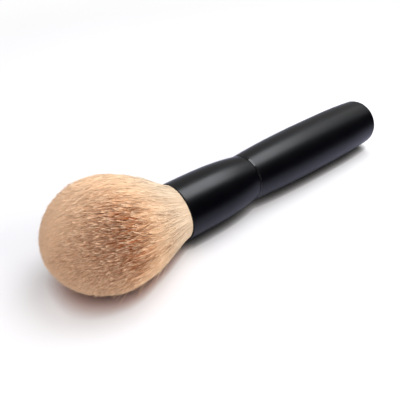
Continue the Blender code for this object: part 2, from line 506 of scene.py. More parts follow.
hairFinish = {
    "roughness": 0.55,
    "specular": 0.05,
    # From the root to the tip of the longest hairs
    "colours": (
        (0.00, (0.70, 0.555, 0.405)),
        (0.20, (0.75, 0.595, 0.430)),
        (0.42, (0.91, 0.635, 0.41)),
        (0.65, (0.99, 0.655, 0.415)),
        (1.00, (0.98, 0.620, 0.395)),
    ),
    # How far tones differ where the hair is smooth and where it is rough, and where it is streaky
    "uneven": (0.10, 1.0),
    "streaky": 0.65,
    "clumpShades": ((0.08, (0.62, 0.35, 0.20)), (0.45, white)),
    "hairShades": ((0.18, (0.16, 0.045, 0.012)), (0.46, white)),
    # Painted shade: behind its tip, rough hair is darkened for the shade of its neighbours
    "paintedGapShades": ((0.25, white), (0.70, (0.70, 0.50, 0.38))),
    "gapGrowth": 0.4,  # for each millimetre behind the tip
    # Brown hair, partly its own brown and partly painted shade inside the tuft, is paler at its tip, and
    # its brown comes and goes in patches
    "deepBrownAndShade": (0.29, 0.070, 0.016),
    "tipBrown": 0.50,
    "brownStart": (0.5, 2.0),  # millimetres behind the tip
    "patches": {"Scale": 400.0, "Detail": 4.0, "Roughness": 0.7},
    "patchRange": (0.36, 0.60),
    "patchBrown": (0.70, 1.15),
    # Tips are paler, partly their own colour and partly a painted highlight where they catch the light
    "paleTipAndHighlight": (1.0, 0.74, 0.52),
    "tipLength": 2.0,  # millimetres
}


def patchyBrown(tree, brown):
    # The brown times a noise of a few millimetres, which is mapped to a strength, and at most 1
    patches = noise(tree, objectPlace(tree), hairFinish["patches"])
    strength = mapRange(tree, patches, *hairFinish["patchRange"], *hairFinish["patchBrown"])
    return mathNode(tree, "MULTIPLY", brown, strength, clamp=True)


def hairMaterial():
    # Cream at the root, tan in the middle and pale at the tip. Clumps and hairs differ a little, and
    # hairs that lie deeper are browner and darker, partly the hair's own brown and partly painted shade
    # for the shade and bounced light inside the tuft. Rough hair gets painted shade behind its tips, and
    # pale tips are partly a painted highlight: each is a shade that multiplies the colour, or mixes into
    # it.
    material, tree, shader = newMaterial("softHair")
    names = ("along", "fromTip", "pale", "clumpTone", "hairTone", "brown", "streaky", "rough")
    read = {name: readFact(tree, name) for name in names}
    uneven = mapRange(tree, read["rough"], 0.0, 1.0, *hairFinish["uneven"])
    streaky = mathNode(tree, "MULTIPLY", read["streaky"], hairFinish["streaky"])
    uneven = mathNode(tree, "MAXIMUM", uneven, streaky)
    gap = mathNode(tree, "MULTIPLY", read["fromTip"], hairFinish["gapGrowth"])
    colour = rampNode(tree, read["along"], hairFinish["colours"])
    for factor, tone, shades in (
        (uneven, read["clumpTone"], hairFinish["clumpShades"]),
        (uneven, read["hairTone"], hairFinish["hairShades"]),
        (read["rough"], gap, hairFinish["paintedGapShades"]),
    ):
        colour = mixColours(tree, "MULTIPLY", factor, colour, rampNode(tree, tone, shades))
    # Painted shade: the hair is browner and darker further behind its tip
    behind = mapRange(tree, read["fromTip"], *hairFinish["brownStart"], hairFinish["tipBrown"], 1.0)
    brown = mathNode(tree, "MULTIPLY", patchyBrown(tree, read["brown"]), behind)
    colour = mixColours(tree, "MIX", brown, colour, hairFinish["deepBrownAndShade"])
    # Paler tips, partly a painted highlight
    atTip = mapRange(tree, read["fromTip"], 0.0, hairFinish["tipLength"], 1.0, 0.0)
    pale = mathNode(tree, "MULTIPLY", atTip, read["pale"])
    setInputs(tree, shader, {
        "Base Color": mixColours(tree, "MIX", pale, colour, hairFinish["paleTipAndHighlight"]),
        "Roughness": hairFinish["roughness"],
        "Specular IOR Level": hairFinish["specular"],
    })
    return material


# The packed hair inside

core = {
    "inset": 0.0007,  # it lies this far under the loose hair
    "tipInset": 0.0011,
    "sideRows": 90,
    "domeRows": 64,
    "around": 320,
    "streaks": {"Scale": 38.0, "Detail": 4.0, "Roughness": 0.7},  # per radius of the disc
    "streakChange": 6,  # how much of the noise a streak runs through, per metre
    # painted shade between the streaks
    "shades": ((0.38, (0.40, 0.30, 0.21)), (0.62, white)),
    "uneven": (0.30, 0.90),  # the share of these shades where it is smooth, and where it is rough
    "bumpStrength": 0.6,
    "bumpDepth": 0.0004,
    "roughness": 0.8,
    "specular": 0.1,
}


def coreMaterial():
    # Streaks keep to the hairs' own lines, with painted shade between them: a noise over the place in
    # the disc, which hardly changes along the hair
    material, tree, shader = newMaterial("packedHair")
    streaks = noise(tree, readFact(tree, "disc", "Vector"), core["streaks"])
    colour = rampNode(tree, readFact(tree, "along"), hairFinish["colours"])
    uneven = mapRange(tree, readFact(tree, "rough"), 0.0, 1.0, *core["uneven"])
    colour = mixColours(tree, "MULTIPLY", uneven, colour, rampNode(tree, streaks, core["shades"]))
    # The deep brown is partly the hair's own brown and partly painted shade inside the tuft
    brown = patchyBrown(tree, readFact(tree, "brown"))
    addBump(tree, shader, streaks, core["bumpStrength"], core["bumpDepth"])
    setInputs(tree, shader, {
        "Base Color": mixColours(tree, "MIX", brown, colour, hairFinish["deepBrownAndShade"]),
        "Roughness": core["roughness"],
        "Specular IOR Level": core["specular"],
    })
    return material


def makeCore(material):
    # The tuft's own shape, drawn in a little: the sides first, then half an ellipse to the tip
    side = np.linspace(-bundle["rootDepth"], bundle["widestDistance"], core["sideRows"])
    turns = np.linspace(0, np.pi / 2, core["domeRows"])[1:-1]
    reach = bundle["domeLength"] - core["tipInset"]
    rootH, tipH = -bundle["rootDepth"], bundle["widestDistance"] + reach
    h = np.concatenate([side, bundle["widestDistance"] + reach * np.sin(turns)])[::-1]
    size = np.concatenate([np.ones(len(side)), np.cos(turns)])[::-1]
    size = size * (1 - core["inset"] / bundleSpread(h))
    angles = np.linspace(0, 2 * np.pi, core["around"], endpoint=False)
    disc = size[:, None, None] * np.stack([np.cos(angles), np.sin(angles)], -1)
    h = np.broadcast_to(h[:, None], disc.shape[:2])
    rings = bundlePoint(disc, h)
    rings[..., 2] = np.maximum(rings[..., 2], core["inset"] / 2)
    poles = [bundlePoint(np.zeros(2), np.array(tipH)), bundlePoint(np.zeros(2), np.array(rootH))]
    mesh = ringsMesh("hair_packed", rings, poles)
    writeFact(mesh, "along", np.append(h.ravel() / brush["hairLength"], [1.0, 0.0]))
    writeFact(mesh, "brown", np.append(sideZone(rings, h, brownZone).ravel(), [0.0, 0.0]))
    writeFact(mesh, "rough", np.append(sideZone(rings, h, roughZone).ravel(), [0.0, 0.0]))
    place = np.concatenate([disc, h[..., None] * core["streakChange"]], -1).reshape(-1, 3)
    polePlaces = [[0, 0, tipH * core["streakChange"]], [0, 0, rootH * core["streakChange"]]]
    writeFact(mesh, "disc", np.concatenate([place, polePlaces]), "FLOAT_VECTOR")
    addPiece(mesh, material, "hair", "bristle_tuft")


# The loose hair's strands

strand = {
    "pullPower": 0.8,  # how soon a hair nears its clump's centre
    "overhang": 0.35,  # the share of its reach that a hair keeps outside the bundle
    "wave": 0.00005,
    "waveTurns": (0.6, 1.6),
    "floorClearance": 0.00008,
    "floorSpread": 2,  # how many more clearances the highest hair on the table has
    "leanLimit": 1.8,  # no hair leans further than this times its spread
    "strayLimit": 4,  # and none stands out further than this times the mean
    "risingFrom": 0.3,  # how far below the middle the tufts start to lean up
    "widths": (0.75, 1.2),
    "widthPlaces": (0.0, 0.15, 0.5),  # along the tuft, and the thickness there
    "widthShares": (0.8, 0.9, 1.0),
    "taperStart": 0.5,  # of a hair, and the thickness there, a step before the tip and at the tip
    "taperShares": (1.0, 0.75, 0.3),
}
# Light meets fine hair as it meets the whole tuft
hairLight = {
    "flareTilt": 0.45,  # where the tuft flares, its way out leans back towards the mouth
    "upLight": 0.35,  # light from above reaches into the sides too
    "softLight": 0.70,  # the share of the tuft's way out in a hair's normals
    "roughLight": 0.15,  # less of it where the hair is rough
    "tilt": 0.06,  # how far each clump's light turns its own way
    "roughTilt": 0.46,  # and more where it is rough
    "hairTilt": 1.20,  # how far each hair's light turns away from its clump's
}
variety = {
    "clumpBrown": 0.2,  # how brown the least brown clump is
    "moreBrown": 1.1,  # added for the brownest
    "brownPower": 1.4,
    "hairBrown": 3.0,  # how brown the brownest hair is beside its clump
    "hairPaleness": (0.3, 1.5),  # beside its clump's
}
# Where a hair's faces lie in its cell of the map, in shares of the cell
hairMap = {
    "name": "OFBake",
    "cellShape": 6,  # how many times as tall as it is wide a cell is
    "left": 0.1,
    "right": 0.9,
    "bottom": 0.05,
    "height": 0.9,
    "endLevel": 0.1,  # how many steps up the face at the root reaches
}
pointsAtOnce = 6000


def sunflower(count, jitter):
    # Points spread evenly over the unit disc along a golden spiral, each moved a little at random
    index = np.arange(count)
    radius = np.sqrt((index + 0.5) / count)
    angle = index * np.pi * (3 - np.sqrt(5))
    points = np.stack([radius * np.cos(angle), radius * np.sin(angle)], -1)
    return points + rng.normal(0, jitter / np.sqrt(count), points.shape)


def nearest(points, centres):
    # The number of each point's nearest centre, a block of points at a time to save memory
    blocks = np.array_split(points, max(len(points) // pointsAtOnce, 1))
    return np.concatenate([
        np.argmin(((block[:, None] - centres[None]) ** 2).sum(-1), axis=1) for block in blocks
    ])


def polar(size, angle):
    # The disc's points at (size cos a, size sin a)
    return size[:, None] * np.stack([np.cos(angle), np.sin(angle)], -1)


def softNormal(scale, shape):
    # A normal spread without its long tails
    return scale * np.clip(rng.normal(0, 1, shape), -strand["leanLimit"], strand["leanLimit"])


def longTail(count):
    # Most are small and a few large: an exponential spread with a mean of 1
    return np.minimum(rng.exponential(1, count), strand["strayLimit"])


def strays(count, share, least, most):
    # A few hairs stand out and soften the outline
    return np.where(rng.uniform(0, 1, count) < share, rng.uniform(least, most, count), 0)


def risingLean(roots, amount):
    # A lean round the tuft towards its top, none at the very top and less and less below the middle:
    # amount * share * the circle's own direction
    size = np.maximum(np.hypot(roots[:, 0], roots[:, 1]), nearZero)
    across, up = roots[:, 0] / size, roots[:, 1] / size
    share = amount * np.clip(strand["risingFrom"] + up, 0, 1) * across
    return np.stack([-up * share, across * share], -1) * size[:, None]


def hairPaths(roots, centres, style, starts, ends, steps):
    # Each hair runs from its root's place in the disc towards its clump's centre, leans aside and
    # stands out with the square of its way, and waves. Steps are shares of that way.
    count = len(roots)
    own = np.array(steps)[None, :, None]
    h = starts[:, None] + (ends - starts)[:, None] * own[..., 0]
    pull = style["pull"][:, None, None] * own ** strand["pullPower"]
    disc = roots[:, None] + (centres - roots)[:, None] * pull + style["lean"][:, None] * own ** 2
    size = np.hypot(disc[..., 0], disc[..., 1])[..., None]
    disc = np.where(size > 1, disc / size * (1 + strand["overhang"] * (size - 1)), disc)
    disc = disc * (1 + style["proud"][:, None, None] * own ** 2)
    points = bundlePoint(disc, h)
    phase = rng.uniform(0, 2 * np.pi, (count, 1, 3))
    turns = rng.uniform(*strand["waveTurns"], (count, 1, 3))
    points = points + strand["wave"] * own * np.sin(phase + 2 * np.pi * turns * own) * (0, 1, 1)
    floor = strand["floorClearance"] * (1 + rng.uniform(0, strand["floorSpread"], (count, 1)))
    points[..., 2] = np.maximum(points[..., 2], floor)
    return points, h


def tuftOutward(points, h):
    # The way out of the tuft: along the radius up to the widest place, a little back towards the mouth
    # where it flares, and away from the dome's centre beyond.
    widest = bundle["widestDistance"]
    beyond = np.maximum(h - widest, 0)
    flare = hairLight["flareTilt"] * np.clip(1 - h / widest, 0, 1)
    up = points[..., 2] - brush["axisZ"] - bundleLift(h)
    radius = np.maximum(np.hypot(points[..., 1], up), nearZero)
    outward = unit(np.stack([flare * radius - beyond, points[..., 1], up], -1))
    return unit(outward + (0, 0, hairLight["upLight"]))


def gridPlaces(count, steps):
    # The map keeps a cell of its own for each hair, and the hair's three sides share its cell. For each
    # corner of each face it gives the place along the hair and across it.
    rings = steps - 1
    columns = math.ceil(math.sqrt(count * hairMap["cellShape"]))
    rows = math.ceil(count / columns)
    left, right = hairMap["left"], hairMap["right"]
    middle = (left + right) / 2
    level = np.arange(rings - 1)[:, None, None] + np.array([0, 0, 1, 1])
    level = np.broadcast_to(level, (rings - 1, 3, 4))
    across = np.broadcast_to([left, right, right, left], level.shape)
    capLevel = np.broadcast_to([rings - 1, rings - 1, rings], (3, 3))
    capAcross = np.broadcast_to([left, right, middle], (3, 3))
    endLevel, endAcross = np.array([0, 0, hairMap["endLevel"]]), np.array([left, right, middle])

    def spread(levels, acrosses):
        # The same places in every hair's cell: columns fill up first, then rows
        number = np.arange(count).reshape((-1,) + (1,) * levels.ndim)
        u = (number % columns + acrosses) / columns
        v = (number // columns + hairMap["bottom"] + hairMap["height"] * levels / rings) / rows
        return np.stack(np.broadcast_arrays(u, v), -1).reshape(-1, 2)

    faceSets = [(level, across), (capLevel, capAcross), (endLevel, endAcross)]
    return np.concatenate([spread(*faceSet) for faceSet in faceSets])


def hairMesh(name, points, thickness, outward, facts):
    # Three corners round each point of a path, and a last point as the tip. The rings turn with the
    # path, because their sides are crossed from its direction.
    count, steps = points.shape[:2]
    rings = steps - 1

    def onVertices(values):
        # Three corners for each step but the last, and the tip
        return np.concatenate([np.repeat(values[:, :rings], 3, axis=1), values[:, -1:]], 1)

    heading = unit(np.gradient(points, axis=1))
    side = unit(np.cross(heading, rng.normal(size=(count, 1, 3))))
    other = np.cross(heading, side)
    turn = (np.arange(3) * 2 * np.pi / 3)[:, None]
    offset = side[:, :rings, None] * np.cos(turn) + other[:, :rings, None] * np.sin(turn)
    corners = points[:, :rings, None] + offset * (thickness[:, :rings, None, None] / 2)
    vertices = np.concatenate([corners.reshape(count, -1, 3), points[:, -1:]], 1).reshape(-1, 3)
    perHair = rings * 3 + 1
    base = (np.arange(count) * perHair)[:, None, None]
    ring = base + (np.arange(rings) * 3)[None, :, None] + np.arange(3)
    beside = np.roll(ring, -1, axis=2)
    quads = np.stack([ring[:, :-1], beside[:, :-1], beside[:, 1:], ring[:, 1:]], -1).reshape(-1, 4)
    tip = np.broadcast_to(base[:, 0] + perHair - 1, (count, 3))
    caps = np.stack([ring[:, -1], beside[:, -1], tip], -1).reshape(-1, 3)
    ends = ring[:, 0, ::-1].reshape(-1, 3)
    mesh = meshFrom(name, vertices, [quads, caps, ends])
    # Normals go from the hair's own to the tuft's way out by the share of soft light
    own = np.concatenate([offset.reshape(count, -1, 3), heading[:, -1:]], 1)
    soft = hairLight["softLight"] - hairLight["roughLight"] * onVertices(facts["rough"])[..., None]
    normals = unit(own + (onVertices(outward) - own) * soft)
    mesh.normals_split_custom_set_from_vertices(normals.reshape(-1, 3).astype(np.float32))
    places = gridPlaces(count, steps).astype(np.float32).ravel()
    mesh.uv_layers.new(name=hairMap["name"]).uv.foreach_set("vector", places)
    for key, values in facts.items():
        writeFact(mesh, key, onVertices(np.broadcast_to(values, (count, steps))))
    return mesh


def addHair(name, settings, material, roots, centres, clump, style, starts, ends):
    # Sorted round the brush and shared out over a few pieces. Each clump has its own tone, paleness,
    # brownness and tilt, and each hair differs from its clump.
    order = np.argsort(np.arctan2(roots[:, 1], roots[:, 0]), kind="stable")
    steps = np.array(settings["steps"])
    clumps = clump.max() + 1
    tone, paleness, depth = rng.uniform(0, 1, (3, clumps))
    tone = np.repeat(tone, settings["alike"])[:clumps]
    tilt = rng.normal(0, 1, (clumps, 3))
    # Each clump's random depth makes it browner: partly the hair's own brown, partly painted shade
    clumpBrown = variety["clumpBrown"] + variety["moreBrown"] * depth ** variety["brownPower"]
    for number, part in enumerate(np.array_split(order, settings["pieces"]), 1):
        perHair, ownClump = (len(part), 1), clump[part]
        chosen = {key: value[part] for key, value in style.items()}
        points, h = hairPaths(roots[part], centres[part], chosen, starts[part], ends[part], steps)
        along = np.clip(h / brush["hairLength"], 0, 1)
        width = settings["thickness"] * rng.uniform(*strand["widths"], perHair)
        width = width * np.interp(along, strand["widthPlaces"], strand["widthShares"])
        width = width * np.interp(steps, (strand["taperStart"], steps[-2], 1.0), strand["taperShares"])
        pale = paleness[ownClump][:, None] * rng.uniform(*variety["hairPaleness"], perHair)
        hairTone = rng.uniform(0, 1, perHair)
        brown = sideZone(points, h, brownZone) * settings["brown"] * clumpBrown[ownClump][:, None]
        facts = {
            "along": along,
            "fromTip": (ends[part][:, None] - h) * 1000,  # millimetres
            "pale": np.clip(pale, 0, 1),
            "clumpTone": tone[ownClump][:, None],
            "hairTone": hairTone,
            "brown": brown * variety["hairBrown"] * rng.uniform(0.0, 1.0, perHair) ** 2,
            "streaky": sideZone(points, h, streakZone),
            "rough": sideZone(points, h, roughZone),
        }
        tilted = tilt[ownClump][:, None] + hairLight["hairTilt"] * rng.normal(0, 1, (len(part), 1, 3))
        tilted = tilted * (hairLight["tilt"] + hairLight["roughTilt"] * facts["rough"][..., None])
        outward = unit(tuftOutward(points, h) + tilted)
        mesh = hairMesh(f"hair_{name}_{number}", points, width, outward, facts)
        addPiece(mesh, material, "hair", "bristle_tuft")
    print("hair", name, len(roots), "hairs")


# The long coat of hair round the bundle

coat = {
    "count": 4800,
    "band": (0.955, 1.0),  # of the tuft's radius
    "clumps": 1500,
    "alike": 6,  # neighbouring clumps of one tone, which make a streak
    "clumpEnds": (0.012, 0.036),  # from the mouth
    "domeShare": 0.96,  # ends lie on the dome of a bundle this much slimmer
    "pull": (0.2, 0.8),
    "lean": 0.012,
    "strays": (0.12, 0.010, 0.045),  # their share, and how far they stand out
    "thickness": 0.00019,
    "scatter": 0.0012,
    "steps": (0.0, 0.16, 0.34, 0.54, 0.78, 0.93, 1.0),
    "pieces": 3,
    "brown": 1.0,
}


def makeCoat(material):
    # Roots lie in a thin band round the bundle, and each clump of them has its own length
    count, clumps = coat["count"], coat["clumps"]
    roots = polar(rng.uniform(*coat["band"], count), rng.uniform(0, 2 * np.pi, count))
    angles = np.linspace(0, 2 * np.pi, clumps, endpoint=False)
    clumpRoots = polar(rng.uniform(*coat["band"], clumps), angles)
    clump = nearest(roots, clumpRoots)
    clumpEnds = rng.uniform(*coat["clumpEnds"], clumps)
    ends = np.minimum(fullLength(roots * coat["domeShare"]), clumpEnds[clump])
    ends = ends + softNormal(coat["scatter"], count)
    style = {
        "pull": rng.uniform(*coat["pull"], clumps)[clump],
        "lean": softNormal(coat["lean"], (clumps, 2))[clump] + softNormal(coat["lean"], (count, 2)),
        "proud": strays(count, *coat["strays"]),
    }
    starts = np.full(count, -bundle["rootDepth"])
    addHair("coat", coat, material, roots, clumpRoots[clump], clump, style, starts, ends)


# Shorter hairs whose tips stand out of the coat: in small tufts, as fuzz and as flyaways

shortHair = {
    "alike": 1,
    "angles": (0, 360),  # from +Y towards up and over to the near side
    "endPower": 0.85,  # below 1, more of them end near the tip than near the mouth
    "spread": 0.0,  # of the roots round their tuft's
    "scatter": 0.0,  # of the ends
    "pull": (0.0, 0.0),
    "rising": 0.0,  # how far they lean up the tuft's sides, on its upper half
    "loose": 0.0,  # how far single hairs lean away from their tuft
    "roughProud": 0.0,  # how much further they stand out where the hair is rough
    "over": 0.0,  # how far the longest stand out of the dome
}
tufts = {
    **shortHair,
    "count": 25000,
    "clumps": 7000,
    "band": (0.955, 1.0),
    "ends": (0.010, 0.047),
    "length": (0.004, 0.008),
    "spread": 0.006,
    "scatter": 0.0003,
    "pull": (0.0, 0.5),
    "lean": 0.013,
    "rising": 0.13,
    "loose": 0.20,
    "proud": 0.004,
    "roughProud": 0.017,
    "thickness": 0.00022,
    "steps": (0.0, 0.35, 0.70, 0.93, 1.0),
    "pieces": 4,
    "brown": 2.8,
}
fuzz = {
    **shortHair,
    "count": 12000,
    "clumps": 12000,
    "band": (0.975, 1.0),
    "ends": (0.008, 0.0500),
    "length": (0.003, 0.007),
    "lean": 0.020,
    "proud": 0.017,
    "over": 0.0004,
    "thickness": 0.00007,
    "steps": (0.0, 0.4, 0.75, 1.0),
    "pieces": 3,
    "brown": 0.3,
}
flyaways = {
    **shortHair,
    "count": 300,
    "clumps": 300,
    "angles": (150, 250),
    "band": (0.97, 0.98),
    "ends": (0.016, 0.038),
    "length": (0.008, 0.014),
    "lean": 0.05,
    "proud": 0.050,
    "thickness": 0.00009,
    "steps": (0.0, 0.25, 0.5, 0.75, 0.93, 1.0),
    "pieces": 1,
    "brown": 0.0,
}


def makeTufts(name, settings, material):
    # Each tuft has its own place round the bundle, its own end and its own way to stand out. Past the
    # widest place it moves in with the dome, by the root of 1 - beyond ** 2.
    count, clumps = settings["count"], settings["clumps"]
    clump = rng.permutation(count) % clumps
    first, last = settings["ends"]
    clumpEnds = first + (last - first) * rng.uniform(0, 1, clumps) ** settings["endPower"]
    angles = np.radians(rng.uniform(*settings["angles"], clumps))
    clumpRoots = polar(rng.uniform(*settings["band"], clumps), angles)
    widest = bundle["widestDistance"]
    beyond = np.clip((clumpEnds - widest) / (brush["hairLength"] - widest), 0, 1)
    clumpRoots = clumpRoots * np.sqrt(1 - beyond ** 2)[:, None]
    rough = sideZone(bundlePoint(clumpRoots, clumpEnds), clumpEnds, roughZone)
    proud = longTail(clumps) * (settings["proud"] + settings["roughProud"] * rough)
    roots = clumpRoots[clump] + softNormal(settings["spread"], (count, 2))
    ends = clumpEnds[clump] + softNormal(settings["scatter"], count)
    ends = ends + settings["over"] * beyond[clump] * longTail(count)
    starts = np.maximum(ends - rng.uniform(*settings["length"], count), 0.0)
    lean = softNormal(settings["lean"], (clumps, 2))[clump]
    lean = lean + softNormal(settings["lean"] * settings["loose"], (count, 2))
    lean = lean + risingLean(clumpRoots, settings["rising"])[clump]
    style = {"pull": rng.uniform(*settings["pull"], clumps)[clump], "lean": lean, "proud": proud[clump]}
    addHair(name, settings, material, roots, clumpRoots[clump], clump, style, starts, ends)


# The ends that make the dome

dome = {
    "count": 44000,
    "clumps": 9000,
    "alike": 1,
    "jitter": 0.35,  # of the hairs and of their clumps, in spaces between them
    "clumpJitter": 0.8,
    "pull": (0.1, 0.5),
    "lean": 0.010,
    "rising": 0.08,
    "strays": (0.10, 0.010, 0.035),  # their share, and how far they stand out
    "length": 0.0045,
    "scatter": 0.0004,
    "thickness": 0.00016,
    "steps": (0.0, 0.70, 1.0),
    "pieces": 3,
    "brown": 3.0,
}


def makeDome(material):
    # Roots fill the disc, and each hair ends where the dome is above its root
    count, clumps = dome["count"], dome["clumps"]
    roots = sunflower(count, dome["jitter"])
    roots = roots / np.maximum(np.hypot(roots[:, 0], roots[:, 1]), 1)[:, None]
    clumpRoots = sunflower(clumps, dome["clumpJitter"])
    clump = nearest(roots, clumpRoots)
    ends = fullLength(roots) + softNormal(dome["scatter"], count)
    pull = rng.uniform(*dome["pull"], clumps)[clump]
    lean = softNormal(dome["lean"], (clumps, 2))[clump] + softNormal(dome["lean"], (count, 2))
    lean = lean + risingLean(roots, dome["rising"])
    style = {"pull": pull, "lean": lean, "proud": strays(count, *dome["strays"])}
    addHair("dome", dome, material, roots, clumpRoots[clump], clump, style, ends - dome["length"], ends)


softHair = hairMaterial()
makeCore(coreMaterial())
makeCoat(softHair)
makeTufts("tufts", tufts, softHair)
makeDome(softHair)
makeTufts("fuzz", fuzz, softHair)
makeTufts("flyaways", flyaways, softHair)
print("hair grown")


# The pieces inside the ferrule keep their shapes and get finishes of their own

thread = {
    "pitch": 0.0003,
    "colour": (0.66, 0.59, 0.46),
    # the groove's colour is painted shade between the turns
    "grooveShadeColour": (0.36, 0.29, 0.19),
    "groove": (-1.0, 0.6),  # the wave's height in the groove and on the thread
    "wax": {"Scale": 1500.0, "Detail": 4.0},
    "waxShades": ((0.3, (0.7, 0.7, 0.7)), (0.6, white)),
    "waxShare": 0.6,
    "waxRange": (0.3, 0.7),
    "roughness": (0.4, 0.7),
    "bumpStrength": 0.8,
    "bumpDepth": 0.00006,
}
resin = {
    "clouds": {"Scale": 260.0, "Detail": 5.0},
    "shades": ((0.35, (0.34, 0.16, 0.04)), (0.65, (0.60, 0.36, 0.12))),
    "bubbles": 900.0,  # per metre
    "bubbleEdge": (0.12, 0.2),  # of the space between them
    "bubbleShare": 0.5,
    "bubbleColour": (0.9, 0.8, 0.6),
    "roughness": 0.15,
    "bumpStrength": 0.4,
    "bumpDepth": 0.0002,
}
glue = {
    "skin": {"Scale": 420.0, "Detail": 6.0, "Distortion": 1.5},
    "shades": ((0.35, (0.55, 0.44, 0.27)), (0.6, (0.78, 0.70, 0.52))),
    "skinRange": (0.3, 0.7),
    "roughness": (0.6, 0.35),
    "bumpStrength": 0.7,
    "bumpDepth": 0.00008,
}


def threadMaterial():
    # Waxed thread wound side by side: a sine along the brush with one wave a turn, with painted shade in
    # the grooves between the turns
    material, tree, shader = newMaterial("waxedThread")
    place = objectPlace(tree)
    turns = mathNode(tree, "MULTIPLY", axisOf(tree, place, 0), 2 * math.pi / thread["pitch"])
    wave = mathNode(tree, "SINE", turns)
    wax = noise(tree, place, thread["wax"])
    crown = mapRange(tree, wave, *thread["groove"])
    colour = mixColours(tree, "MIX", crown, thread["grooveShadeColour"], thread["colour"])
    waxShade = rampNode(tree, wax, thread["waxShades"])
    addBump(tree, shader, wave, thread["bumpStrength"], thread["bumpDepth"])
    setInputs(tree, shader, {
        "Base Color": mixColours(tree, "MULTIPLY", thread["waxShare"], colour, waxShade),
        "Roughness": mapRange(tree, wax, *thread["waxRange"], *thread["roughness"]),
    })
    return material


def resinMaterial():
    # Cast amber resin: cloudy depths with small pale bubbles
    material, tree, shader = newMaterial("amberResin")
    place = objectPlace(tree)
    clouds = noise(tree, place, resin["clouds"])
    cells = addNode(tree, "TexVoronoi", Vector=place, Scale=resin["bubbles"]).outputs[0]
    bubble = mapRange(tree, cells, *resin["bubbleEdge"], resin["bubbleShare"], 0.0)
    colour = rampNode(tree, clouds, resin["shades"])
    addBump(tree, shader, clouds, resin["bumpStrength"], resin["bumpDepth"])
    setInputs(tree, shader, {
        "Base Color": mixColours(tree, "MIX", bubble, colour, resin["bubbleColour"]),
        "Roughness": resin["roughness"],
    })
    return material


def glueMaterial():
    # Set wood glue: cream skin with yellow, slightly sunken streaks
    material, tree, shader = newMaterial("setGlue")
    skin = noise(tree, objectPlace(tree), glue["skin"])
    addBump(tree, shader, skin, glue["bumpStrength"], glue["bumpDepth"])
    setInputs(tree, shader, {
        "Base Color": rampNode(tree, skin, glue["shades"]),
        "Roughness": mapRange(tree, skin, *glue["skinRange"], *glue["roughness"]),
    })
    return material


def finishNode(name, material):
    # Gives a node of the frame its material, in every slot that it has
    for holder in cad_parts[name].material_slots:
        holder.material = material


finishNode("binding_thread", threadMaterial())
finishNode("root_plug", resinMaterial())
finishNode("tenon_glue", glueMaterial())
print("inside pieces finished")


# Table

table = {
    "size": 6.0,
    "colour": (0.72, 0.715, 0.73),
    "contactReach": 0.0040,  # painted shade: where something stands this near the table, the table's colour is darkened
    "tipReach": 0.0092,  # under the tip, which is turned away from the softbox, the painted shade reaches this far
    "reachChange": 0.020,  # from the mouth, the place where the reach starts to grow
    "contactSamples": 8,
    "bodyContact": 2.0,  # how steeply: the black body shades it more than the soft hair does
    "hairContact": 1.1,
    "hairBounceTint": (0.60, 0.44, 0.40),  # the painted shade half way in beside the hair, warmed as painted light bounced off the hair
    "hairSide": 0.008,  # before the mouth, the end of the hair's shade
    "bodySide": 0.002,  # and behind it, the start of the body's
    "paintedGlossColour": (0.40, 0.41, 0.53),
    "pale": 0.010,  # in front of the brush, gloss sees the table at its palest this far from the axis
    "dark": 0.105,  # and from here on the painted reflection is black
    "paleFall": 2.0,
    "fadeStart": 0.17,  # far from the brush the table fades into the white room
    "fadeEnd": 0.42,
}


def contactShade(tree, along):
    # A painted contact shade: the openness round each point of the table, to a power, darkens its
    # colour.
    # Reach, power and tint go from the hair's to the body's along the brush.
    tip, mouth = brush["mouthX"] - brush["hairLength"], brush["mouthX"]
    reachEnd = mouth - table["reachChange"]
    reach = mapRange(tree, along, tip, reachEnd, table["tipReach"], table["contactReach"])
    settings = {"samples": table["contactSamples"]}
    openness = addNode(tree, "AmbientOcclusion", settings, Distance=reach).outputs[1]
    change = (mouth - table["hairSide"], mouth + table["bodySide"])
    steepness = mapRange(tree, along, *change, table["hairContact"], table["bodyContact"])
    openness = mathNode(tree, "POWER", openness, steepness)
    besideBody = rampNode(tree, openness, ((0.0, black), (1.0, white)))
    besideHair = rampNode(tree, openness, ((0.0, black), (0.5, table["hairBounceTint"]), (1.0, white)))
    return mixColours(tree, "MIX", mapRange(tree, along, *change), besideHair, besideBody)


def tableMaterial():
    # Pale and matt, with a painted contact shade. Gloss sees a painted reflection: pale and bluish round
    # the brush and behind it, and darkening to black in front. The camera sees it fade into white with
    # the distance from the brush.
    material, tree, shader = newMaterial("paleTable")
    tree.nodes.remove(shader)
    path = addNode(tree, "LightPath").outputs
    place = objectPlace(tree)
    along, across = axisOf(tree, place, 0), axisOf(tree, place, 1)
    near = mapRange(tree, across, -table["dark"], -table["pale"])
    near = mathNode(tree, "POWER", near, table["paleFall"])
    gloss = mixColours(tree, "MIX", near, black, table["paintedGlossColour"])
    seen = mixColours(tree, "MIX", path["Is Glossy Ray"], table["colour"], gloss)
    # The painted contact shade multiplies the colour
    seen = mixColours(tree, "MULTIPLY", 1.0, seen, contactShade(tree, along))
    diffuse = addNode(tree, "BsdfDiffuse", Color=seen).outputs[0]
    glow = addNode(tree, "Emission", Color=white, Strength=1.0).outputs[0]
    distance = addNode(tree, "VectorMath", {"operation": "LENGTH"}, i0=place).outputs[1]
    far = mapRange(tree, distance, table["fadeStart"], table["fadeEnd"], curve="SMOOTHSTEP")
    far = mathNode(tree, "MULTIPLY", far, path["Is Camera Ray"])
    surface = addNode(tree, "MixShader", i0=far, i1=diffuse, i2=glow).outputs[0]
    tree.links.new(surface, tree.nodes["Material Output"].inputs[0])
    return material


def makeTable():
    # One square face at z = 0, half its size each way from the brush
    half = table["size"] / 2
    corners = np.array([(-half, -half, 0), (half, -half, 0), (half, half, 0), (-half, half, 0)])
    mesh = meshFrom("table_top", corners, [np.arange(4)[None]])
    mesh.materials.append(tableMaterial())
    piece = bpy.data.objects.new("table_top", mesh)
    bpy.context.collection.objects.link(piece)


# Light. Gloss sees only the two softboxes, so they alone draw highlights on the black body.

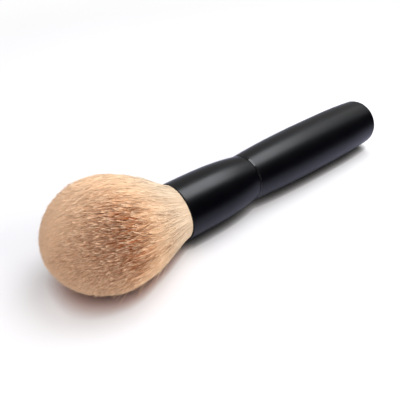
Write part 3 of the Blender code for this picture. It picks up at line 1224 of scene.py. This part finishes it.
lamps = {
    "softbox": {
        "place": (0.197, 0.0, 0.45),
        "size": (0.32, 0.30),
        "radiance": 4.8,
        "colour": (0.96, 0.98, 1.03),
        "inGloss": True,
    },
    "end_softbox": {
        "place": (0.49, 0.01, 0.34),
        "size": (0.32, 0.30),
        "radiance": 0.5,
        "colour": white,
        "inGloss": True,
    },
    "back_fill": {
        "place": (-0.16, 0.34, 0.50),
        "size": (0.40, 0.30),
        "radiance": 1.6,
        "colour": white,
        "inGloss": False,
    },
    "left_fill": {
        "place": (-0.60, -0.06, 0.16),
        "size": (0.45, 0.22),
        "radiance": 2.5,
        "colour": white,
        "inGloss": False,
    },
    "front_fill": {
        "place": (0.20, -0.46, 0.30),
        "size": (0.50, 0.30),
        "radiance": 4.2,
        "colour": (1.04, 1.0, 0.95),
        "inGloss": False,
    },
    "low_fill": {
        "place": (0.20, -0.55, 0.10),
        "size": (0.70, 0.18),
        "radiance": 2.0,
        "colour": white,
        "inGloss": False,
    },
}
lampTarget = (0.0, 0.0, 0.012)
room = {
    "horizon": 0.05,  # the brightness level with the table, and straight above
    "overhead": 1.35,
    "glossFront": 0.004,  # what gloss sees in front of the brush, and behind it
    "glossBack": 0.30,
    "glossChange": (-0.05, 0.35),  # from front to back, in the direction's y
}


def addAreaLight(name, settings):
    # A flat lamp turned to the brush. Its power is pi times its area times its radiance, which is what
    # a camera would read off it.
    lamp = bpy.data.lights.new(name, "AREA")
    lamp.shape = "RECTANGLE"
    lamp.size, lamp.size_y = settings["size"]
    lamp.energy = math.pi * lamp.size * lamp.size_y * settings["radiance"]
    lamp.color = settings["colour"]
    piece = bpy.data.objects.new(name, lamp)
    bpy.context.collection.objects.link(piece)
    toLamp = unit(np.array(settings["place"]) - lampTarget)
    side = unit(np.cross((0, 0, 1), toLamp))
    axes = np.stack([side, np.cross(toLamp, side), toLamp], -1)
    turned = Matrix(axes.tolist()).to_4x4()
    turned.translation = settings["place"]
    piece.matrix_world = turned
    piece.visible_glossy = settings["inGloss"]


def makeWorld():
    # White to the camera. Matt surfaces get more from above, by the square of the direction's z. Gloss
    # sees a pale backdrop behind the brush and the dark side of the room in front of it.
    world = bpy.data.worlds.new("studio")
    bpy.context.scene.world = world
    world.use_nodes = True
    tree = world.node_tree
    path = addNode(tree, "LightPath").outputs
    toward = addNode(tree, "SeparateXYZ", Vector=addNode(tree, "TexCoord").outputs["Generated"]).outputs
    height = mathNode(tree, "MULTIPLY", toward[2], toward[2])
    matt = mapRange(tree, height, 0.0, 1.0, room["horizon"], room["overhead"])
    shine = (room["glossFront"], room["glossBack"])
    gloss = mapRange(tree, toward[1], *room["glossChange"], *shine, curve="SMOOTHSTEP")
    unseen = mixValues(tree, path["Is Glossy Ray"], matt, gloss)
    strength = mixValues(tree, path["Is Camera Ray"], unseen, 1.0)
    setInputs(tree, tree.nodes["Background"], {"Color": white, "Strength": strength})


# Camera

camera = {
    "place": (-0.11669, -0.11321, 0.12042),
    "aside": math.radians(40.37),  # from looking along +Y
    "down": math.radians(36.18),
    "lens": 42.32,
    "sensor": 36.0,
    "near": 0.005,
    "far": 20.0,
}


def makeCamera():
    # Turned by aside round Z, then tipped down: its axes are written out from the two angles
    data = bpy.data.cameras.new("camera")
    data.lens, data.sensor_width = camera["lens"], camera["sensor"]
    data.clip_start, data.clip_end = camera["near"], camera["far"]
    piece = bpy.data.objects.new("camera", data)
    bpy.context.collection.objects.link(piece)
    a, e = camera["aside"], camera["down"]
    right = (math.cos(a), -math.sin(a), 0.0)
    up = (math.sin(a) * math.sin(e), math.cos(a) * math.sin(e), math.cos(e))
    back = (-math.sin(a) * math.cos(e), -math.cos(a) * math.cos(e), math.sin(e))
    turned = Matrix([right, up, back]).transposed().to_4x4()
    turned.translation = camera["place"]
    piece.matrix_world = turned
    bpy.context.scene.camera = piece


makeTable()
for name, settings in lamps.items():
    addAreaLight(name, settings)
makeWorld()
makeCamera()
bpy.context.scene.view_settings.view_transform = "Standard"
print("table, light and camera set")
